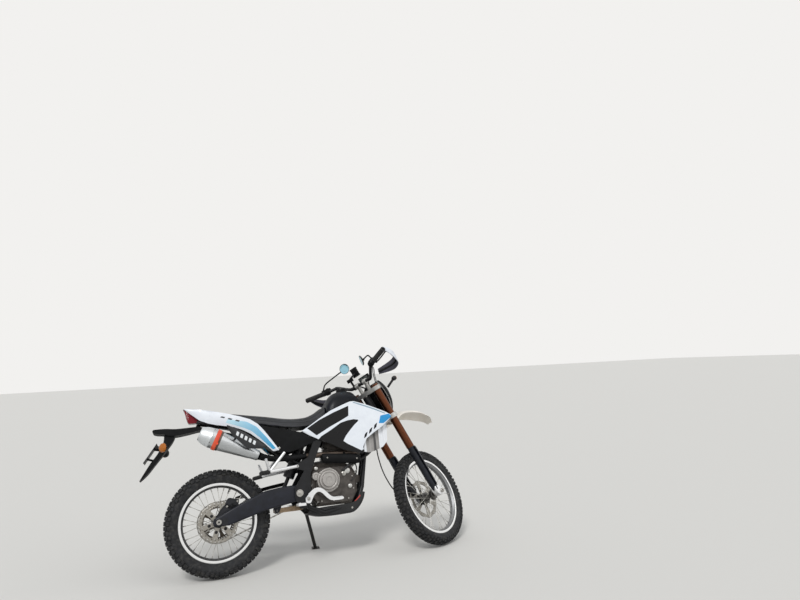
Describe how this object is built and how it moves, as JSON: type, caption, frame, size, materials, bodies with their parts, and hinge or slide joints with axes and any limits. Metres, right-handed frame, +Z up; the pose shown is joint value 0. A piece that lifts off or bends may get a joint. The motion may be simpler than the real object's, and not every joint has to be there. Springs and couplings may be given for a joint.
{
  "type": "dual sport motorcycle",
  "caption": "Dual sport motorcycle with turning spoked wheels, steering and a folding side stand, leaning on its stand.",
  "frame": {"origin": "centre of the bounding box on the ground plane", "axes": "+X forward along the motorcycle, +Y to its left, +Z up from the ground"},
  "size_m": [2.121, 0.72, 1.3352],
  "materials": {
    "arm_grey": "dark grey paint",
    "axle_steel": "steel",
    "bar_black": "black",
    "caliper_dark": "dark grey",
    "cap_black": "black",
    "chain_steel": "oiled steel",
    "clamp_silver": "satin",
    "core_alloy": "finned core",
    "cover_silver": "satin cast",
    "disc_steel": "brushed",
    "engine_grey": "cast, dark grey",
    "fender_cream": "gloss cream white",
    "frame_black": "satin black paint",
    "grip_rubber": "black",
    "guard_black": "satin black",
    "guard_white": "white",
    "header_steel": "heat-stained",
    "hose_rubber": "black",
    "hub_alloy": "cast",
    "lamp_glass": "clear lens",
    "leg_black": "satin black",
    "lens_orange": "translucent orange",
    "lens_red": "translucent red",
    "lever_black": "black",
    "link_alloy": "cast",
    "mirror_face": "mirror glass in black shells",
    "muffler_steel": "satin",
    "panel_black": "textured black",
    "panel_white": "gloss cool white",
    "pedal_alloy": "polished",
    "rim_alloy": "bright polished",
    "seat_black": "black vinyl",
    "skid_black": "matte black",
    "spring_steel": "dark paint",
    "stand_black": "black paint",
    "tank_black": "gloss navy black",
    "tube_copper": "copper-brown anodised",
    "tyre_rubber": "dusty black rubber"
  },
  "bodies": {
    "chassis": {"airbox": "panel_black", "chain": "chain_steel", "engine": "engine_grey", "engine_covers": "cover_silver", "exhaust_header": "header_steel", "foot_controls": "pedal_alloy", "fuel_cap": "cap_black", "fuel_tank": "tank_black", "heat_shields": "guard_black", "main_frame": "frame_black", "muffler": "muffler_steel", "passenger_pegs": "pedal_alloy", "radiators": "core_alloy", "rear_axle": "axle_steel", "rear_caliper": "caliper_dark", "rear_fender": "panel_black", "rear_indicators": "lens_orange", "rear_shock": "spring_steel", "rider_pegs": "pedal_alloy", "seat": "seat_black", "shock_link": "link_alloy", "shrouds": "panel_white", "side_covers": "panel_black", "skid_plate": "skid_black", "subframe": "frame_black", "swingarm": "arm_grey", "tail_light": "lens_red", "tail_panels": "panel_white"},
    "stand": {"side_stand": "stand_black"},
    "rear_wheel": {"rear_tyre": "tyre_rubber", "rear_rim": "rim_alloy", "rear_hub": "hub_alloy", "rear_disc": "disc_steel", "rear_sprocket": "chain_steel"},
    "steering": {"fork_clamps": "clamp_silver", "fork_tubes": "tube_copper", "fork_legs": "leg_black", "front_fender": "fender_cream", "headlight_mask": "panel_black", "headlight": "lamp_glass", "instrument": "panel_black", "handlebar": "bar_black", "grips": "grip_rubber", "levers": "lever_black", "hand_guards": "guard_white", "mirrors": "mirror_face", "front_indicators": "lens_orange", "front_caliper": "caliper_dark", "brake_hose": "hose_rubber", "front_axle": "axle_steel"},
    "front_wheel": {"front_tyre": "tyre_rubber", "front_rim": "rim_alloy", "front_hub": "hub_alloy", "front_disc": "disc_steel"}
  },
  "joints": [
    {"name": "steering_turn", "type": "hinge", "parent": "chassis", "child": "steering", "pos_m": [0.45124, -0.00268, 0.87157], "axis": [-0.4319, 0.2022, 0.8789], "range_deg": [-66, 0]},
    {"name": "rear_wheel_spin", "type": "hinge", "parent": "chassis", "child": "rear_wheel", "pos_m": [-0.61954, -0.13446, 0.30862], "axis": [-0.0016, 0.9744, -0.2249], "continuous": true},
    {"name": "front_wheel_spin", "type": "hinge", "parent": "steering", "child": "front_wheel", "pos_m": [0.77369, -0.1088, 0.29734], "axis": [-0.4926, 0.7635, -0.4177], "continuous": true},
    {"name": "stand_fold", "type": "hinge", "parent": "chassis", "child": "stand", "pos_m": [-0.05974, 0.01567, 0.2791], "axis": [0.0024, 0.9435, 0.3315], "range_deg": [0, 104]}
  ]
}
